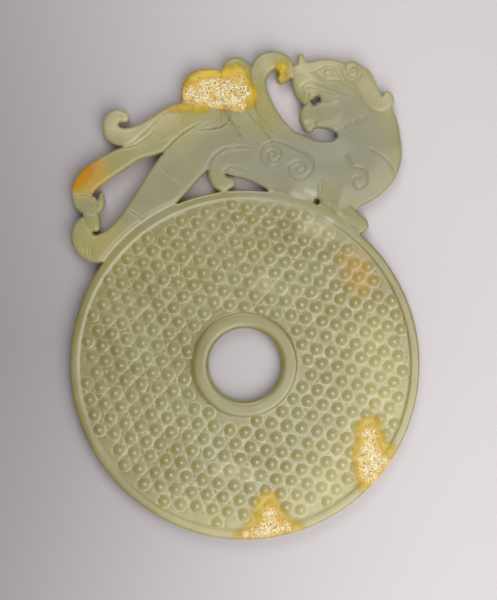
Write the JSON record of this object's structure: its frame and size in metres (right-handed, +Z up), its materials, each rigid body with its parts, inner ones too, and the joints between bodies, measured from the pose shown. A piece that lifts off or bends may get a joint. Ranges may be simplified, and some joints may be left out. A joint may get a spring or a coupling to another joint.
{
  "type": "jade bi disc",
  "caption": "Flat jade ring carved with rows of grain studs, with an openwork horned dragon crouching on its rim.",
  "frame": {"origin": "middle of the object's outline on the surface that it lies on", "axes": "+Z up from the flat underside to the carved face, +Y from the ring towards the dragon, +X towards the dragon's head"},
  "size_m": [0.14, 0.1958, 0.007],
  "materials": {
    "jade": "polished celadon nephrite, slightly translucent, with orange-brown and cream calcified patches"
  },
  "bodies": {
    "root": {"jade_bi": "jade"}
  },
  "joints": []
}
